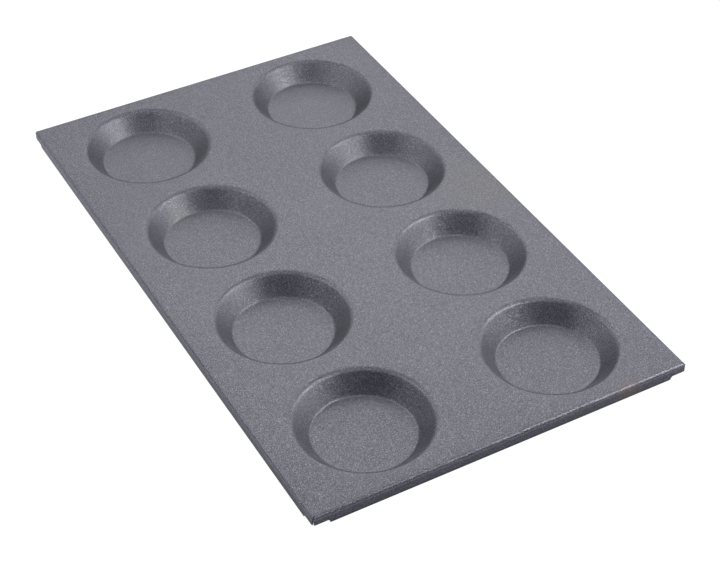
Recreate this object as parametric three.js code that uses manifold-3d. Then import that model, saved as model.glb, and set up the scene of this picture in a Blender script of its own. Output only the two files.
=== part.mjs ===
// Egg pan: one drawn and folded aluminium sheet with round wells, and the non-stick coat on its cooking face.
// Millimetres, +Z up. X runs across the pan, Y along it, and the wells' floors stand on Z = 0.
import * as THREE from "three";
import { mergeVertices } from "three/addons/utils/BufferGeometryUtils.js";
import Module from "manifold-3d";

// Outline of the coated pan, over the folded edges
const PAN_WIDTH = 325;
const PAN_LENGTH = 530;

// The sheet, its coat, and the line of bond between them
const SHEET_THICKNESS = 2;
const COAT_THICKNESS = 0.1;
const BOND_GAP = 0.05;

// Folded edge: down from the deck, then returned inwards, with open corners
const RIM_HEIGHT = 13;
const TOP_BEND_INSIDE_RADIUS = 1;
const RETURN_BEND_INSIDE_RADIUS = 2;
const CORNER_INSIDE_RADIUS = 0.5;
const RETURN_WIDTH = 10;
const CORNER_NOTCH = 14;
const CORNER_RELIEF = 1.6;
const SEAM_GAP = 0.8;

// Drawn wells, and the flat deck left around and between them
const WELL_MOUTH_DIAMETER = 114;
const WELL_DEPTH = 16.5;
const WALL_ANGLE = THREE.MathUtils.degToRad(51);
const LIP_INSIDE_RADIUS = 4;
const FLOOR_FILLET_RADIUS = 3;
const SIDE_MARGIN = 23.25;
const END_MARGIN = 12.25;
const LEAST_WEB = 12;

// Facets
const WELL_SEGMENTS = 36;
const LIP_STEPS = 2;
const FILLET_STEPS = 2;
const BEND_SEGMENTS = 2;
const CUT_MARGIN = 5;

// Depths of each face below the finished cooking face, measured square to it
const COAT_FACE = 0;
const COAT_BACK = COAT_THICKNESS;
const SHEET_FACE = COAT_BACK + BOND_GAP;
const SHEET_BACK = SHEET_FACE + SHEET_THICKNESS;

// Heights of the finished cooking face
const FLOOR_Z = SHEET_BACK;
const DECK_Z = FLOOR_Z + WELL_DEPTH;
const RIM_Z = DECK_Z - RIM_HEIGHT;

// Radii of the finished face, from the insides of the bends
const TOP_BEND_RADIUS = TOP_BEND_INSIDE_RADIUS + SHEET_BACK;
const RETURN_BEND_RADIUS = RETURN_BEND_INSIDE_RADIUS + SHEET_BACK;
const CORNER_RADIUS = CORNER_INSIDE_RADIUS + SHEET_BACK;
const LIP_RADIUS = LIP_INSIDE_RADIUS + SHEET_BACK;

// The return starts where the folded edge's straight face ends, and the corner notches run a little above that
const RETURN_START_Z = RIM_Z + RETURN_BEND_RADIUS;
const NOTCH_Z = RETURN_START_Z + CORNER_RELIEF;

// The well's straight wall runs between its rounded lip and its floor fillet
const MOUTH_RADIUS = WELL_MOUTH_DIAMETER / 2;
const ROUNDED_DEPTH = (LIP_RADIUS + FLOOR_FILLET_RADIUS) * (1 - Math.cos(WALL_ANGLE));
const ROUNDED_RUN = (LIP_RADIUS + FLOOR_FILLET_RADIUS) * Math.sin(WALL_ANGLE);
const WALL_RUN = (WELL_DEPTH - ROUNDED_DEPTH) / Math.tan(WALL_ANGLE);
const FLOOR_RADIUS = MOUTH_RADIUS - ROUNDED_RUN - WALL_RUN;

const wasm = await Module();
wasm.setup();

// A closed three.js geometry as a solid that can be joined and cut
function solidOf(geometry) {
  const bare = geometry.clone();
  bare.deleteAttribute("normal");
  bare.deleteAttribute("uv");
  const merged = mergeVertices(bare);
  const corners = merged.index.array;
  const triangles = [];
  for (let i = 0; i < corners.length; i += 3) {
    const [a, b, c] = [corners[i], corners[i + 1], corners[i + 2]];
    const collapsed = a === b || b === c || c === a;
    if (!collapsed) triangles.push(a, b, c);
  }
  return new wasm.Manifold(new wasm.Mesh({
    numProp: 3,
    vertProperties: new Float32Array(merged.attributes.position.array),
    triVerts: new Uint32Array(triangles),
  }));
}

// A finished solid as a named mesh
function meshOf(name, solid, material) {
  const { vertProperties, triVerts } = solid.getMesh();
  const geometry = new THREE.BufferGeometry();
  geometry.setAttribute("position", new THREE.BufferAttribute(vertProperties, 3));
  geometry.setIndex(new THREE.BufferAttribute(triVerts, 1));
  geometry.computeVertexNormals();
  const mesh = new THREE.Mesh(geometry, material);
  mesh.name = name;
  return mesh;
}

// A rectangle with rounded corners: its bottom pair and its top pair have radii of their own
function roundedRectangle(halfWidth, bottom, top, bottomRadius, topRadius) {
  const quarter = Math.PI / 2;
  const outline = new THREE.Shape();
  outline.moveTo(-halfWidth + bottomRadius, bottom);
  outline.lineTo(halfWidth - bottomRadius, bottom);
  outline.absarc(halfWidth - bottomRadius, bottom + bottomRadius, bottomRadius, -quarter, 0);
  outline.lineTo(halfWidth, top - topRadius);
  outline.absarc(halfWidth - topRadius, top - topRadius, topRadius, 0, quarter);
  outline.lineTo(-halfWidth + topRadius, top);
  outline.absarc(-halfWidth + topRadius, top - topRadius, topRadius, quarter, 2 * quarter);
  outline.lineTo(-halfWidth, bottom + bottomRadius);
  outline.absarc(-halfWidth + bottomRadius, bottom + bottomRadius, bottomRadius, 2 * quarter, 3 * quarter);
  outline.closePath();
  return outline;
}

// An outline pushed through a length centred on the origin, along Z
function centredExtrusion(outline, length) {
  const geometry = new THREE.ExtrudeGeometry(outline, {
    depth: length,
    curveSegments: BEND_SEGMENTS,
    bevelEnabled: false,
  });
  return geometry.translate(0, 0, -length / 2);
}

// The space inside one face of the folded sheet, that face lying at the given depth below the finished one.
// Two edge profiles cross, one along the pan and one across it, so that the bends meet in mitres.
function foldedEnvelope(depth) {
  const halfWidth = PAN_WIDTH / 2 - depth;
  const halfLength = PAN_LENGTH / 2 - depth;
  const bottom = RIM_Z + depth;
  const top = DECK_Z - depth;
  const bottomRadius = RETURN_BEND_RADIUS - depth;
  const topRadius = TOP_BEND_RADIUS - depth;
  const cornerRadius = CORNER_RADIUS - depth;
  const acrossOutline = roundedRectangle(halfWidth, bottom, top, bottomRadius, topRadius);
  const alongOutline = roundedRectangle(halfLength, bottom, top, bottomRadius, topRadius);
  const planOutline = roundedRectangle(halfWidth, -halfLength, halfLength, cornerRadius, cornerRadius);
  const across = centredExtrusion(acrossOutline, PAN_LENGTH).rotateX(Math.PI / 2);
  const along = centredExtrusion(alongOutline, PAN_WIDTH).rotateX(Math.PI / 2).rotateZ(Math.PI / 2);
  const plan = centredExtrusion(planOutline, 2 * DECK_Z);
  return solidOf(across).intersect(solidOf(along)).intersect(solidOf(plan));
}

// The four open corners: a narrow slit on each mitre, from the flat of the deck outwards
function cornerSeams() {
  const length = 2 * CORNER_RADIUS + CUT_MARGIN;
  const slits = [];
  for (const sideX of [-1, 1]) {
    for (const sideY of [-1, 1]) {
      const slit = new THREE.BoxGeometry(length, SEAM_GAP, 2 * DECK_Z);
      slit.translate(length / 2, 0, 0);
      slit.rotateZ(Math.atan2(sideY, sideX));
      slit.translate(
        sideX * (PAN_WIDTH / 2 - TOP_BEND_RADIUS),
        sideY * (PAN_LENGTH / 2 - TOP_BEND_RADIUS),
        0,
      );
      slits.push(solidOf(slit));
    }
  }
  return slits.reduce((all, slit) => all.add(slit));
}

// One return as seen from above, on the side that faces -Y: its ends are cut at 45 degrees, clear of the corners
function returnOutline(sideLength, sideDistance) {
  const halfFold = sideLength / 2 - CORNER_NOTCH;
  const outline = new THREE.Path();
  outline.moveTo(-halfFold, -sideDistance - CUT_MARGIN);
  outline.lineTo(halfFold, -sideDistance - CUT_MARGIN);
  outline.lineTo(halfFold, -sideDistance);
  outline.lineTo(halfFold - RETURN_WIDTH, -sideDistance + RETURN_WIDTH);
  outline.lineTo(-halfFold + RETURN_WIDTH, -sideDistance + RETURN_WIDTH);
  outline.lineTo(-halfFold, -sideDistance);
  outline.closePath();
  return outline.getPoints();
}

// What is trimmed off under the folded edges, so that only the four returns are left
function underTrim() {
  const halfWidth = PAN_WIDTH / 2;
  const halfLength = PAN_LENGTH / 2;
  const reach = 2 * CUT_MARGIN;
  const trim = roundedRectangle(halfWidth + reach, -halfLength - reach, halfLength + reach, reach, reach);
  const origin = new THREE.Vector2();
  for (const turn of [0, 1, 2, 3]) {
    const isEnd = turn % 2 === 0;
    const outline = isEnd
      ? returnOutline(PAN_WIDTH, halfLength)
      : returnOutline(PAN_LENGTH, halfWidth);
    const turned = outline.map((point) => point.clone().rotateAround(origin, turn * Math.PI / 2));
    trim.holes.push(new THREE.Path(turned));
  }
  const height = NOTCH_Z + CUT_MARGIN;
  const geometry = centredExtrusion(trim, height).translate(0, 0, NOTCH_Z - height / 2);
  return solidOf(geometry);
}

// The well's revolved form up to the given height, its face lying at a depth below the finished one
function wellForm(depth, topZ) {
  const profile = [new THREE.Vector2(0, FLOOR_Z - depth)];
  const filletRadius = FLOOR_FILLET_RADIUS + depth;
  for (let step = 0; step <= FILLET_STEPS; step += 1) {
    const angle = WALL_ANGLE * step / FILLET_STEPS;
    profile.push(new THREE.Vector2(
      FLOOR_RADIUS + filletRadius * Math.sin(angle),
      FLOOR_Z + FLOOR_FILLET_RADIUS - filletRadius * Math.cos(angle),
    ));
  }
  const lipRadius = LIP_RADIUS - depth;
  for (let step = LIP_STEPS; step >= 0; step -= 1) {
    const angle = WALL_ANGLE * step / LIP_STEPS;
    profile.push(new THREE.Vector2(
      MOUTH_RADIUS - lipRadius * Math.sin(angle),
      DECK_Z - LIP_RADIUS + lipRadius * Math.cos(angle),
    ));
  }
  profile.push(new THREE.Vector2(MOUTH_RADIUS, topZ));
  profile.push(new THREE.Vector2(0, topZ));
  return new THREE.LatheGeometry(profile, WELL_SEGMENTS).rotateX(Math.PI / 2);
}

// As many wells as fit between two limits, spaced evenly: the places of their centres
function evenCentres(low, high) {
  const first = low + MOUTH_RADIUS;
  const last = high - MOUTH_RADIUS;
  const count = 1 + Math.floor((last - first) / (WELL_MOUTH_DIAMETER + LEAST_WEB));
  if (count === 1) return [(first + last) / 2];
  return Array.from({ length: count }, (_, i) => first + (last - first) * i / (count - 1));
}

// Every well of the pan, as solids that reach up to the given height
function wellPattern(depth, topZ) {
  const columns = evenCentres(-PAN_WIDTH / 2 + SIDE_MARGIN, PAN_WIDTH / 2 - SIDE_MARGIN);
  const rows = evenCentres(-PAN_LENGTH / 2 + END_MARGIN, PAN_LENGTH / 2 - END_MARGIN);
  const form = wellForm(depth, topZ);
  const wells = columns.flatMap((x) => rows.map((y) => solidOf(form.clone().translate(x, y, 0))));
  return wells.reduce((all, well) => all.add(well));
}

// One layer of the pan, between two faces of the same form: folded edges, deck and wells
function pressedLayer(face, back) {
  const folded = foldedEnvelope(face).subtract(foldedEnvelope(back)).subtract(underTrim()).subtract(cornerSeams());
  const insideDeck = DECK_Z - (face + back) / 2;
  const drawn = wellPattern(back, insideDeck);
  const hollows = wellPattern(face, DECK_Z + CUT_MARGIN);
  return folded.add(drawn).subtract(hollows);
}

const bareAluminium = new THREE.MeshStandardMaterial({ color: 0xb4b7bb, roughness: 0.38, metalness: 1 });
const slateCoat = new THREE.MeshStandardMaterial({ color: 0x6d6e76, roughness: 0.55, metalness: 0.15 });

const panSheet = meshOf("pan_sheet", pressedLayer(SHEET_FACE, SHEET_BACK), bareAluminium);
const nonstickCoat = meshOf("nonstick_coat", pressedLayer(COAT_FACE, COAT_BACK), slateCoat);

const eggPan = new THREE.Group();
eggPan.add(panSheet, nonstickCoat);

export default eggPan;
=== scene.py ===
"""Egg pan: one drawn and folded aluminium sheet with eight round wells and a non-stick coat."""
import math

import bmesh
import bpy
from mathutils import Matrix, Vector


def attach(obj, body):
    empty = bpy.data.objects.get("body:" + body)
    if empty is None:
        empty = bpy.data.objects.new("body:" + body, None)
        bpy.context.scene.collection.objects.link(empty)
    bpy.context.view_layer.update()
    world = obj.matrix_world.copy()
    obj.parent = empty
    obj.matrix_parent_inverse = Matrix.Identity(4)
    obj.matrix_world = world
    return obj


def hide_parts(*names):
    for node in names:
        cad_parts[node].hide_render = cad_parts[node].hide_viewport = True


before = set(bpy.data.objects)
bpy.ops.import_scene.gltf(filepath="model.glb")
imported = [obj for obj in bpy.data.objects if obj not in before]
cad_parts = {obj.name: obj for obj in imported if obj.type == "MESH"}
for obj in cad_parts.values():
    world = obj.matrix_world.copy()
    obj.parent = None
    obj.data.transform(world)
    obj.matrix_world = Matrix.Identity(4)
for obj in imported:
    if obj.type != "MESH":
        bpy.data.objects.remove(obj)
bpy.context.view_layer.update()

# The sheet: 2 mm rolled aluminium, cut flat, drawn into eight round wells in a press and folded down and
# under on its four sides. The folds stay open at the corners, and nothing is welded or riveted to it. A
# thin matt base coat covers its underside and is lightly scuffed where the wells' floors stand.
MM = 0.001
PAN_WIDTH = 325.0
PAN_LENGTH = 530.0
SHEET_FACE = 0.15
SHEET_BACK = 2.15

WELL_DEPTH = 16.5
FLOOR_Z = SHEET_BACK
DECK_Z = FLOOR_Z + WELL_DEPTH
MOUTH_RADIUS = 57.0
WALL_ANGLE = math.radians(51)
LIP_RADIUS = 6.15
FILLET_RADIUS = 3.0
WELL_COLUMNS = [-82.25, 82.25]
WELL_ROWS = [-195.75, -65.25, 65.25, 195.75]

EDGE_HEIGHT = 13.0
RIM_Z = DECK_Z - EDGE_HEIGHT
TOP_BEND_RADIUS = 3.15
RETURN_BEND_RADIUS = 4.15
RETURN_START_Z = RIM_Z + RETURN_BEND_RADIUS
RETURN_WIDTH = 10.0
CORNER_RADIUS = 2.65
CORNER_NOTCH = 14.0
NOTCH_SLOPE = 1.2
NOTCH_RISE = 1.6
NOTCH_Z = RETURN_START_Z + NOTCH_RISE
SEAM_GAP = 0.8

WELL_SEGMENTS = 128
SIDE_STEPS = WELL_SEGMENTS // 4
SOUTH_WEST = math.radians(-135)
LIP_STEPS = 8
WALL_STEPS = 4
FILLET_STEPS = 7
FLOOR_RINGS = [0.75, 0.5, 0.25]
DECK_RINGS = 3
BEND_STEPS = 8
FACE_STEPS = 3
CORNER_SHARES = [0.25, 0.5, 0.75, 1.0]
SHARED_DIGITS = 8
WELD_DISTANCE = 0.000001
SHARP_ANGLE = math.radians(35)


def well_profile():
    """Points of a well from mouth to floor, each as a function of the depth below the finished face."""
    rounded = LIP_RADIUS + FILLET_RADIUS
    wall_run = (WELL_DEPTH - rounded * (1 - math.cos(WALL_ANGLE))) / math.tan(WALL_ANGLE)
    floor_radius = MOUTH_RADIUS - rounded * math.sin(WALL_ANGLE) - wall_run

    def lip(angle):
        return lambda depth: (
            MOUTH_RADIUS - (LIP_RADIUS - depth) * math.sin(angle),
            DECK_Z - LIP_RADIUS + (LIP_RADIUS - depth) * math.cos(angle),
        )

    def fillet(angle):
        return lambda depth: (
            floor_radius + (FILLET_RADIUS + depth) * math.sin(angle),
            FLOOR_Z + FILLET_RADIUS - (FILLET_RADIUS + depth) * math.cos(angle),
        )

    def between(upper, lower, share):
        return lambda depth: tuple(
            a + (b - a) * share for a, b in zip(upper(depth), lower(depth))
        )

    points = [lip(WALL_ANGLE * step / LIP_STEPS) for step in range(LIP_STEPS + 1)]
    top, foot = points[-1], fillet(WALL_ANGLE)
    points += [between(top, foot, step / WALL_STEPS) for step in range(1, WALL_STEPS)]
    points += [fillet(WALL_ANGLE * (1 - step / FILLET_STEPS)) for step in range(FILLET_STEPS + 1)]
    points += [
        (lambda depth, radius=floor_radius * share: (radius, FLOOR_Z - depth)) for share in FLOOR_RINGS
    ]
    return points


class Pressing:
    """The pan's face as corners and facets, each corner a function of the depth below the finished face."""

    def __init__(self):
        self.corners = []
        self.known = {}
        self.facets = []

    def corner(self, key, place):
        if key not in self.known:
            self.known[key] = len(self.corners)
            self.corners.append(place)
        return self.known[key]

    def facet(self, *ids):
        ring = [a for a, b in zip(ids, ids[1:] + ids[:1]) if a != b]
        if len(ring) > 2:
            self.facets.append(ring)

    def deck_corner(self, x, y):
        key = (round(x, SHARED_DIGITS), round(y, SHARED_DIGITS))
        return self.corner(key, lambda depth: (x, y, DECK_Z - depth))

    def strip(self, upper, lower):
        for i in range(len(upper) - 1):
            self.facet(upper[i], upper[i + 1], lower[i + 1], lower[i])


def cell_outline(west, east, south, north):
    """Points round one well's share of the deck, anticlockwise from its south-west corner."""
    steps = [i / SIDE_STEPS for i in range(SIDE_STEPS)]
    return (
        [(west + (east - west) * t, south) for t in steps]
        + [(east, south + (north - south) * t) for t in steps]
        + [(east + (west - east) * t, north) for t in steps]
        + [(west, north + (south - north) * t) for t in steps]
    )


def press_well(pressing, centre, outline):
    """One well and the flat deck round it, ring by ring from its share of the deck down to its floor."""
    x, y = centre
    turns = [SOUTH_WEST + 2 * math.pi * i / WELL_SEGMENTS for i in range(WELL_SEGMENTS)]
    rings = []
    for ring in range(DECK_RINGS + 1):
        share = ring / DECK_RINGS
        ids = []
        for (px, py), turn in zip(outline, turns):
            mouth = (x + MOUTH_RADIUS * math.cos(turn), y + MOUTH_RADIUS * math.sin(turn))
            ids.append(pressing.deck_corner(px + (mouth[0] - px) * share, py + (mouth[1] - py) * share))
        rings.append(ids)
    for level, point in enumerate(well_profile()[1:]):
        ids = []
        for turn in turns:
            def place(depth, point=point, turn=turn):
                radius, z = point(depth)
                return (x + radius * math.cos(turn), y + radius * math.sin(turn), z)
            ids.append(pressing.corner((x, y, level, turn), place))
        rings.append(ids)
    for outer, inner in zip(rings, rings[1:]):
        pressing.strip(outer + outer[:1], inner + inner[:1])
    middle = pressing.corner((x, y, "middle"), lambda depth: (x, y, FLOOR_Z - depth))
    last = rings[-1]
    for a, b in zip(last, last[1:] + last[:1]):
        pressing.facet(a, b, middle)


def corner_reach(offset, depth):
    """How far a folded edge runs on past the deck's flat at its end, where it stands out by this offset."""
    mitre = offset - SEAM_GAP / math.sqrt(2)
    rounding = CORNER_RADIUS - depth
    start = TOP_BEND_RADIUS - CORNER_RADIUS
    half = SEAM_GAP / 2
    if rounding > half:
        turn = math.radians(45) - math.asin(half / rounding)
        mitre = min(mitre, start + rounding * math.sin(turn)) if turn > 0 else mitre
    return max(mitre, 0.0)


def corner_cap(reach, depth):
    """How far a folded edge may stand out there, inside the rounding of the pan's corner."""
    rounding = CORNER_RADIUS - depth
    over = reach - (TOP_BEND_RADIUS - CORNER_RADIUS)
    if over <= 0:
        return TOP_BEND_RADIUS - depth
    return TOP_BEND_RADIUS - depth - rounding + math.sqrt(max(rounding ** 2 - over ** 2, 0.0))


def fold_side(pressing, name, along, outward, stations, flat_edge, outline_half):
    """One folded edge: its top bend, its straight face, the bend under it and its return."""
    flat_half = stations[-1]
    fold_half = outline_half - CORNER_NOTCH
    outline = flat_edge + TOP_BEND_RADIUS
    bend_turns = [math.pi / 2 * step / BEND_STEPS for step in range(1, BEND_STEPS + 1)]
    ends = [
        min(range(len(stations)), key=lambda i, side=side: abs(stations[i] - side * fold_half))
        for side in (-1, 1)
    ]

    def at(s, out, z):
        return (along[0] * s + outward[0] * out, along[1] * s + outward[1] * out, z)

    def turned(tag, side, share, rise, z_of):
        def place(depth):
            offset = rise(depth)
            reach = corner_reach(offset, depth) * share
            out = min(offset, corner_cap(reach, depth))
            return at(side * (flat_half + reach), flat_edge + out, z_of(depth))
        return pressing.corner((name, tag, side, share), place)

    def row(tag, rise, z_of, shift):
        ids = [turned(tag, -1, share, rise, z_of) for share in reversed(CORNER_SHARES)]
        for i, s in enumerate(stations):
            def place(depth, i=i, s=s):
                if i in ends:
                    s += (math.copysign(fold_half + NOTCH_SLOPE - depth, s) - s) * shift
                return at(s, flat_edge + rise(depth), z_of(depth))
            ids.append(pressing.corner((name, tag, i), place))
        return ids + [turned(tag, 1, share, rise, z_of) for share in CORNER_SHARES]

    spare = len(CORNER_SHARES)
    bend_z = DECK_Z - TOP_BEND_RADIUS
    first = [pressing.deck_corner(*at(s, flat_edge, 0)[:2]) for s in stations]
    rows = [[first[0]] * spare + first + [first[-1]] * spare]
    for turn in bend_turns:
        rows.append(row(
            ("top bend", turn),
            lambda depth, turn=turn: (TOP_BEND_RADIUS - depth) * math.sin(turn),
            lambda depth, turn=turn: bend_z + (TOP_BEND_RADIUS - depth) * math.cos(turn),
            0.0,
        ))
    for step in range(1, FACE_STEPS + 1):
        share = step / FACE_STEPS
        z = bend_z + (NOTCH_Z - bend_z) * share
        rows.append(row(
            ("face", step),
            lambda depth: TOP_BEND_RADIUS - depth,
            lambda depth, z=z: z,
            share,
        ))
    for upper, lower in zip(rows, rows[1:]):
        pressing.strip(upper, lower)

    def return_row(tag, inset_of, z_of):
        ids = []
        for i in range(ends[0], ends[1] + 1):
            def place(depth, i=i):
                inset = inset_of(depth)
                s = stations[i]
                if i in ends:
                    s = math.copysign(fold_half - depth, s)
                return at(s * (fold_half - inset) / (fold_half - depth), outline - inset, z_of(depth))
            ids.append(pressing.corner((name, tag, i), place))
        return ids

    under = [rows[-1][spare + ends[0]:spare + ends[1] + 1]]
    under.append(return_row("under notch", lambda depth: depth, lambda depth: RETURN_START_Z))
    for turn in bend_turns:
        under.append(return_row(
            ("under bend", turn),
            lambda depth, turn=turn: RETURN_BEND_RADIUS - (RETURN_BEND_RADIUS - depth) * math.cos(turn),
            lambda depth, turn=turn: RETURN_START_Z - (RETURN_BEND_RADIUS - depth) * math.sin(turn),
        ))
    under.append(return_row("edge", lambda depth: RETURN_WIDTH, lambda depth: RIM_Z + depth))
    for upper, lower in zip(under, under[1:]):
        pressing.strip(upper, lower)


def press_pan():
    """The whole face: eight wells with their shares of the deck, and four folded edges."""
    pressing = Pressing()
    half_x = PAN_WIDTH / 2 - TOP_BEND_RADIUS
    half_y = PAN_LENGTH / 2 - TOP_BEND_RADIUS
    edges_x = [-half_x, sum(WELL_COLUMNS) / 2, half_x]
    edges_y = [-half_y] + [(a + b) / 2 for a, b in zip(WELL_ROWS, WELL_ROWS[1:])] + [half_y]
    for x, west, east in zip(WELL_COLUMNS, edges_x, edges_x[1:]):
        for y, south, north in zip(WELL_ROWS, edges_y, edges_y[1:]):
            press_well(pressing, (x, y), cell_outline(west, east, south, north))

    def stations(edges):
        found = []
        for a, b in zip(edges, edges[1:]):
            found += [a + (b - a) * i / SIDE_STEPS for i in range(SIDE_STEPS)]
        return found + [edges[-1]]

    across, along = stations(edges_x), stations(edges_y)
    fold_side(pressing, "front", (1, 0), (0, -1), across, half_y, PAN_WIDTH / 2)
    fold_side(pressing, "back", (1, 0), (0, 1), across, half_y, PAN_WIDTH / 2)
    fold_side(pressing, "left", (0, 1), (-1, 0), along, half_x, PAN_LENGTH / 2)
    fold_side(pressing, "right", (0, 1), (1, 0), along, half_x, PAN_LENGTH / 2)
    return pressing


def layer(name, pressing, face, back):
    """A closed skin between two depths below the finished face, its open edges walled."""
    mesh = bmesh.new()
    tops = [mesh.verts.new(Vector(place(face)) * MM) for place in pressing.corners]
    feet = [mesh.verts.new(Vector(place(back)) * MM) for place in pressing.corners]
    for ids in pressing.facets:
        mesh.faces.new([tops[i] for i in ids]).smooth = True
        mesh.faces.new([feet[i] for i in reversed(ids)]).smooth = True
    number = {vert: i for i, vert in enumerate(tops)}
    cut = mesh.faces.layers.float.new("cut")
    for edge in [e for e in mesh.edges if e.is_boundary and e.verts[0] in number]:
        a, b = (number[vert] for vert in edge.verts)
        mesh.faces.new([tops[a], tops[b], feet[b], feet[a]])[cut] = 1.0
    bmesh.ops.remove_doubles(mesh, verts=mesh.verts, dist=WELD_DISTANCE)
    bmesh.ops.recalc_face_normals(mesh, faces=mesh.faces)
    for edge in mesh.edges:
        edge.smooth = edge.calc_face_angle(0.0) < SHARP_ANGLE
    made = bpy.data.meshes.new(name)
    mesh.to_mesh(made)
    mesh.free()
    piece = bpy.data.objects.new(name, made)
    bpy.context.scene.collection.objects.link(piece)
    return piece


class Finish:
    """A socket of a material's nodes. Python's operators on it add Math nodes."""

    def __init__(self, tree, socket=None):
        self.tree = tree
        self.socket = socket

    def node(self, kind, settings, inputs, output=0):
        """Adds any other node: its settings first, then its sockets' values or links."""
        made = self.tree.nodes.new(kind)
        for name, value in settings.items():
            setattr(made, name, value)
        for name, value in inputs.items():
            named = [s for s in made.inputs if s.identifier == name or s.name == name]
            socket = made.inputs[name] if isinstance(name, int) else named[0]
            if isinstance(value, Finish):
                self.tree.links.new(value.socket, socket)
            else:
                socket.default_value = value
        if not made.outputs:
            return None
        named = [s for s in made.outputs if s.identifier == output or s.name == output]
        return Finish(self.tree, made.outputs[output] if isinstance(output, int) else named[0])

    def surface(self, inputs):
        """The material's one shader, with these values and links, and its output."""
        shader = self.node("ShaderNodeBsdfPrincipled", {}, inputs)
        self.node("ShaderNodeOutputMaterial", {}, {"Surface": shader})

    def maths(self, operation, *values):
        return self.node("ShaderNodeMath", {"operation": operation}, dict(enumerate(values)))

    def __add__(self, other):
        return self.maths("ADD", self, other)

    def __radd__(self, other):
        return self.maths("ADD", other, self)

    def __sub__(self, other):
        return self.maths("SUBTRACT", self, other)

    def __rsub__(self, other):
        return self.maths("SUBTRACT", other, self)

    def __mul__(self, other):
        return self.maths("MULTIPLY", self, other)

    def __rmul__(self, other):
        return self.maths("MULTIPLY", other, self)

    def __abs__(self):
        return self.maths("ABSOLUTE", self)

    def step(self, low, high):
        """0 below low and 1 above high, smooth in between."""
        return self.node(
            "ShaderNodeMapRange",
            {"interpolation_type": "SMOOTHSTEP", "clamp": True},
            {"Value": self, "From Min": low, "From Max": high},
        )

    def tint(self, low, high):
        """A colour from low to high, as the value goes from 0 to 1."""
        return self.node(
            "ShaderNodeMix",
            {"data_type": "RGBA"},
            {"Factor_Float": self, "A_Color": low, "B_Color": high},
            "Result_Color",
        )

    def vector(self, operation, *values, output="Vector"):
        """Vector maths on colours, directions or places."""
        return self.node("ShaderNodeVectorMath", {"operation": operation}, dict(enumerate(values)), output)

    def noise(self, size, detail, rough):
        """Cloudy variation with lumps of about the given size in metres, for a place on the piece."""
        return self.node(
            "ShaderNodeTexNoise",
            {},
            {"Vector": self, "Scale": 1.0 / size, "Detail": detail, "Roughness": rough},
        )


def new_finish(name):
    """A bare material and the way into its nodes."""
    material = bpy.data.materials.new(name)
    material.use_nodes = True
    material.node_tree.nodes.clear()
    return material, Finish(material.node_tree)


pressing = press_pan()
sheet = layer("sheet", pressing, SHEET_FACE, SHEET_BACK)

ROLLED_METAL = (0.58, 0.59, 0.61, 1.0)
BASE_COAT = (0.100, 0.101, 0.110, 1.0)
THIN_BASE_COAT = (0.185, 0.187, 0.200, 1.0)
BASE_COAT_METALLIC = 0.25
BASE_COAT_ROUGHNESS = 0.52
THINNING = (0.38, 0.62)
ALONG_ROLL = {"Scale": (1.0, 0.02, 1.0)}
STREAK_SIZE = 0.0012
STREAK_SHARE = 0.5
PATCH_SIZE = 0.045
PIT_SIZE = 0.0011
PIT_SHARE = 0.5
PIT_ROUGHNESS = 0.1
ALONG_SLIDE = {"Scale": (1.0, 0.03, 1.0), "Rotation": (0.0, 0.0, 0.12)}
SCRATCH_SIZE = 0.0007
SCRATCH_SHARE = 0.7
SCUFF_HEIGHT = (0.0001, 0.0009)
SCUFF_EDGE = (0.54, 0.70)
SCUFF_STRENGTH = 0.6
SCUFF_POLISH = 0.17
SHEET_BUMP = {"Strength": 0.25, "Distance": 0.00008}

sheet_finish, nodes = new_finish("base_coated_aluminium")
place = nodes.node("ShaderNodeTexCoord", {}, {}, "Object")
rolled = place.node("ShaderNodeMapping", {}, {"Vector": place, **ALONG_ROLL})
slid = place.node("ShaderNodeMapping", {}, {"Vector": place, **ALONG_SLIDE})
streaks = rolled.noise(STREAK_SIZE, detail=3.0, rough=0.6)
scratches = slid.noise(SCRATCH_SIZE, detail=2.0, rough=0.5)
patches = place.noise(PATCH_SIZE, detail=3.0, rough=0.55)
pits = place.noise(PIT_SIZE, detail=2.0, rough=0.5)
thin = streaks * STREAK_SHARE + patches * (1.0 - STREAK_SHARE)
base_coat = thin.step(*THINNING).tint(BASE_COAT, THIN_BASE_COAT)
height = place.node("ShaderNodeSeparateXYZ", {}, {"Vector": place}, "Z")
cut = nodes.node("ShaderNodeAttribute", {"attribute_name": "cut"}, {}, "Fac")
rubbed = (1.0 - height.step(*SCUFF_HEIGHT)) * (1.0 - cut)
marked = scratches * SCRATCH_SHARE + patches * (1.0 - SCRATCH_SHARE)
scuffs = rubbed * marked.step(*SCUFF_EDGE) * SCUFF_STRENGTH
relief = streaks * (1.0 - PIT_SHARE) + pits * PIT_SHARE
nodes.surface({
    "Base Color": scuffs.tint(base_coat, ROLLED_METAL),
    "Metallic": BASE_COAT_METALLIC + scuffs * (1.0 - BASE_COAT_METALLIC),
    "Roughness": BASE_COAT_ROUGHNESS - scuffs * SCUFF_POLISH + pits * PIT_ROUGHNESS,
    "Normal": place.node("ShaderNodeBump", {}, {**SHEET_BUMP, "Height": relief}),
})
sheet.data.materials.append(sheet_finish)
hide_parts("pan_sheet")
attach(sheet, "root")

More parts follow.
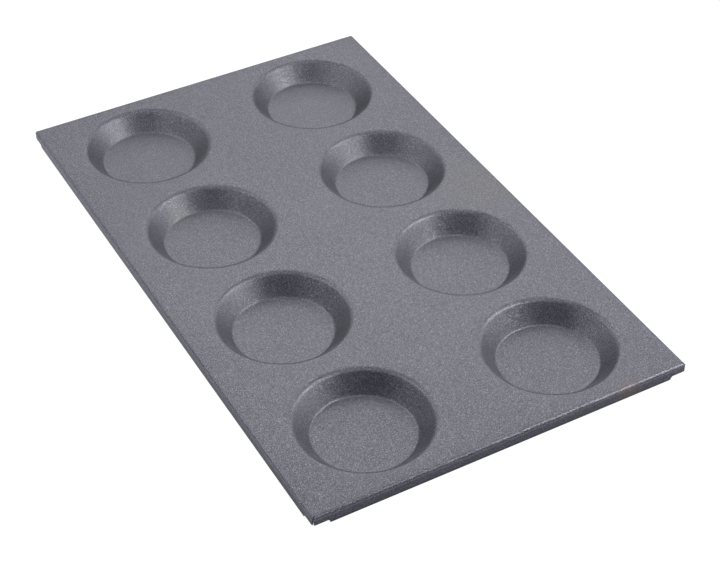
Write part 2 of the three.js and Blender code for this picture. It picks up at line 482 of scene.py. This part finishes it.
# The coat: a satin slate-grey non-stick film, sprayed on the cooking face and over the folded edges, and
# baked. It follows the sheet up to the returns' edges. Its grains lean each its own way and so glint, some
# are pale metal flakes, use has left one faint brown stain on its front edge, and two faint yellow patches
# painted on it stand for warm reflections.
COAT_FACE = 0.0
COAT_BACK = 0.1
SLATE_DARK = (0.073, 0.073, 0.084, 1.0)
SLATE_LIGHT = (0.267, 0.267, 0.307, 1.0)
SLATE_METALLIC = 0.75
SLATE_ROUGHNESS = 0.366
SLATE_SPECULAR = 0.8
GRAIN_SIZE = 0.00034
GRAIN_LEAN = 0.24
GRAIN_SHARE = 0.85
GRAIN_ROUGHNESS = 0.06
MIDDLE_DRAW = (0.5, 0.5, 0.5)
CLOUD_SIZE = 0.050
FLAKE = (0.48, 0.48, 0.54, 1.0)
FLAKE_METALLIC = 0.50
FLAKE_LUCK = (0.86, 1.0)
PEEL_SIZE = 0.0006
PEEL_BUMP = {"Strength": 0.35, "Distance": 0.00010}
BROWNED = (0.30, 0.21, 0.17, 1.0)
# Painted warm reflection: a faint yellow cast that stands for warm light mirrored by the coat
WARM_REFLECTION_TINT = (0.20, 0.20, 0.17, 1.0)
# Each mark's middle, its reach, how strong it is at the middle, and its colour
STAIN_AND_REFLECTION_MARKS = [
    # The first is a brown stain from use; the next two are painted warm reflections, not stains
    ((0.108, -0.266, 0.0125), 0.016, 0.50, BROWNED),
    ((0.146, 0.004, 0.01865), 0.050, 0.40, WARM_REFLECTION_TINT),
    ((-0.0936, 0.1044, 0.00965), 0.012, 0.80, WARM_REFLECTION_TINT),
]

coat = layer("coat", pressing, COAT_FACE, COAT_BACK)

coat_finish, nodes = new_finish("slate_coat")
place = nodes.node("ShaderNodeTexCoord", {}, {}, "Object")
clouds = place.noise(CLOUD_SIZE, detail=3.0, rough=0.5)
cells = {"Vector": place, "Scale": 1.0 / GRAIN_SIZE, "Randomness": 1.0}
draw = place.node("ShaderNodeTexVoronoi", {"feature": "F1"}, cells, "Color")
shade = draw.node("ShaderNodeSeparateColor", {}, {"Color": draw}, "Red")
luck = draw.node("ShaderNodeSeparateColor", {}, {"Color": draw}, "Green")
flakes = luck.step(*FLAKE_LUCK)
colour = (shade * GRAIN_SHARE + clouds * (1.0 - GRAIN_SHARE)).tint(SLATE_DARK, SLATE_LIGHT)
# Tint the coat with the brown stain and the two painted warm reflections
for spot, radius, strength, mark_tint in STAIN_AND_REFLECTION_MARKS:
    away = place.vector("DISTANCE", place, spot, output="Value")
    colour = ((1.0 - away.step(0.0, radius)) * strength).tint(colour, mark_tint)
level = nodes.node("ShaderNodeNewGeometry", {}, {}, "Normal")
swing = draw.vector("SUBTRACT", draw, MIDDLE_DRAW)
leaning = swing.vector("MULTIPLY_ADD", swing, (GRAIN_LEAN,) * 3, level)
grain_normal = leaning.vector("NORMALIZE", leaning)
peel = place.noise(PEEL_SIZE, detail=1.0, rough=0.6)
nodes.surface({
    "Base Color": flakes.tint(colour, FLAKE),
    "Metallic": SLATE_METALLIC - flakes * (SLATE_METALLIC - FLAKE_METALLIC),
    "Roughness": SLATE_ROUGHNESS + shade * GRAIN_ROUGHNESS,
    "Specular IOR Level": SLATE_SPECULAR,
    "Normal": place.node("ShaderNodeBump", {}, {**PEEL_BUMP, "Height": peel, "Normal": grain_normal}),
})
coat.data.materials.append(coat_finish)
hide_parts("nonstick_coat")
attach(coat, "root")

# The floor: a plain white table, matt, that glows evenly white, so the pan throws no shadow outside its
# outline. The wells' floors stand on it, and a painted shadow darkens the glow under the pan.
FLOOR_SPAN = 60.0
TABLE_PAINT = (0.10, 0.10, 0.10, 1.0)
TABLE_LIGHT = (1.0, 1.0, 1.0, 1.0)
TABLE_SHADE = (0.04, 0.04, 0.045, 1.0)
SHADE_FROM_SIDES = (0.0065, 0.0085)
SHADE_FROM_ENDS = (0.0115, 0.0140)

floor_mesh = bpy.data.meshes.new("floor")
reach = FLOOR_SPAN / 2
floor_mesh.from_pydata(
    [(-reach, -reach, 0.0), (reach, -reach, 0.0), (reach, reach, 0.0), (-reach, reach, 0.0)],
    [],
    [(0, 1, 2, 3)],
)
floor = bpy.data.objects.new("floor", floor_mesh)
bpy.context.scene.collection.objects.link(floor)
floor_finish, nodes = new_finish("white_table")
place = nodes.node("ShaderNodeTexCoord", {}, {}, "Object")
across = place.node("ShaderNodeSeparateXYZ", {}, {"Vector": place}, "X")
along = place.node("ShaderNodeSeparateXYZ", {}, {"Vector": place}, "Y")
from_sides = PAN_WIDTH / 2 * MM - abs(across)
from_ends = PAN_LENGTH / 2 * MM - abs(along)
# Painted shadow: the table's glow fades to dark inside the pan's outline
shaded = from_sides.step(*SHADE_FROM_SIDES) * from_ends.step(*SHADE_FROM_ENDS)
nodes.surface({
    "Base Color": TABLE_PAINT,
    "Roughness": 1.0,
    "Specular IOR Level": 0.0,
    "Emission Color": shaded.tint(TABLE_LIGHT, TABLE_SHADE),
    "Emission Strength": 1.0,
})
floor_mesh.materials.append(floor_finish)
floor.visible_diffuse = False
floor.visible_glossy = False

# The studio light: broad soft boxes behind the pan, a long narrow one at the front right that the wells'
# far walls mirror, low ones at the right and behind, a near one at the left, weak ones overhead, and a fill
# that is strongest just under the horizon, where the lit table throws the light back, most of all behind.
FILL_ABOVE = (0.072, 0.072, 0.095, 1.0)
FILL_UNDER = (0.05, 0.05, 0.06, 1.0)
FILL_FRONT = (0.70, 0.70, 0.76, 1.0)
FILL_BACK = (0.97, 0.97, 1.05, 1.0)
TOWARDS_BACK = (-0.48, 0.88, 0.0)
FRONT_TO_BACK = (-0.6, 0.6)
UNDER_TO_TABLE = (-0.88, -0.40)
TABLE_TO_ABOVE = (-0.05, 0.05)


def soft_box(name, azimuth, elevation, distance, width, height, watts):
    """A rectangle of light that faces the pan's middle from this direction, in degrees and metres."""
    light = bpy.data.lights.new(name, "AREA")
    light.shape = "RECTANGLE"
    light.size = width
    light.size_y = height
    light.energy = watts
    lamp = bpy.data.objects.new(name, light)
    turn, rise = math.radians(azimuth), math.radians(elevation)
    away = Vector((math.cos(turn) * math.cos(rise), math.sin(turn) * math.cos(rise), math.sin(rise)))
    lamp.location = away * distance
    lamp.rotation_euler = away.to_track_quat("Z", "Y").to_euler()
    bpy.context.scene.collection.objects.link(lamp)


soft_box("back", azimuth=82.0, elevation=46.0, distance=2.5, width=2.4, height=0.9, watts=9.9)
soft_box("back_right", azimuth=46.0, elevation=28.0, distance=2.15, width=2.3, height=0.85, watts=6.9)
soft_box("back_left", azimuth=135.0, elevation=35.0, distance=1.6, width=1.2, height=1.2, watts=2.5)
soft_box("front_right", azimuth=-32.5, elevation=43.5, distance=1.37, width=1.16, height=0.27, watts=7.8)
soft_box("right", azimuth=-19.0, elevation=14.0, distance=1.1, width=1.4, height=0.46, watts=2.55)
soft_box("left", azimuth=167.0, elevation=48.0, distance=0.87, width=0.72, height=0.49, watts=1.37)
soft_box("back_low", azimuth=111.0, elevation=15.0, distance=0.79, width=0.74, height=0.32, watts=0.32)
soft_box("over_back", azimuth=78.0, elevation=57.0, distance=0.45, width=0.45, height=0.05, watts=0.08)
soft_box("over_right", azimuth=26.0, elevation=60.0, distance=1.02, width=0.08, height=1.2, watts=0.81)
soft_box("over_front", azimuth=-112.0, elevation=69.0, distance=1.8, width=0.73, height=1.03, watts=2.1)

world = bpy.data.worlds.new("fill")
world.use_nodes = True
world.node_tree.nodes.clear()
sky = Finish(world.node_tree)
outward = sky.node("ShaderNodeTexCoord", {}, {}, "Generated")
upward = sky.node("ShaderNodeSeparateXYZ", {}, {"Vector": outward}, "Z")
backward = outward.vector("DOT_PRODUCT", outward, TOWARDS_BACK, output="Value")
table_glow = backward.step(*FRONT_TO_BACK).tint(FILL_FRONT, FILL_BACK)
below = upward.step(*UNDER_TO_TABLE).tint(FILL_UNDER, table_glow)
fill_colour = upward.step(*TABLE_TO_ABOVE).tint(below, FILL_ABOVE)
fill = sky.node("ShaderNodeBackground", {}, {"Color": fill_colour})
sky.node("ShaderNodeOutputWorld", {}, {"Surface": fill})
bpy.context.scene.world = world
bpy.context.scene.view_settings.view_transform = "Standard"

# The camera: a long lens at the front left, looking down at the pan. Its place, its aim and its focal length
# were fitted to the pan's outline and to the rims of its wells.
CAMERA_PLACE = Vector((-538.2, -1005.0, 950.8)) * MM
CAMERA_AIM = Vector((-8.4, -57.3, 18.65)) * MM
SENSOR_WIDTH = 36.0
LENS = 88.55

camera_data = bpy.data.cameras.new("camera")
camera_data.sensor_width = SENSOR_WIDTH
camera_data.lens = LENS
camera = bpy.data.objects.new("camera", camera_data)
camera.location = CAMERA_PLACE
camera.rotation_euler = (CAMERA_PLACE - CAMERA_AIM).to_track_quat("Z", "Y").to_euler()
bpy.context.scene.collection.objects.link(camera)
bpy.context.scene.camera = camera
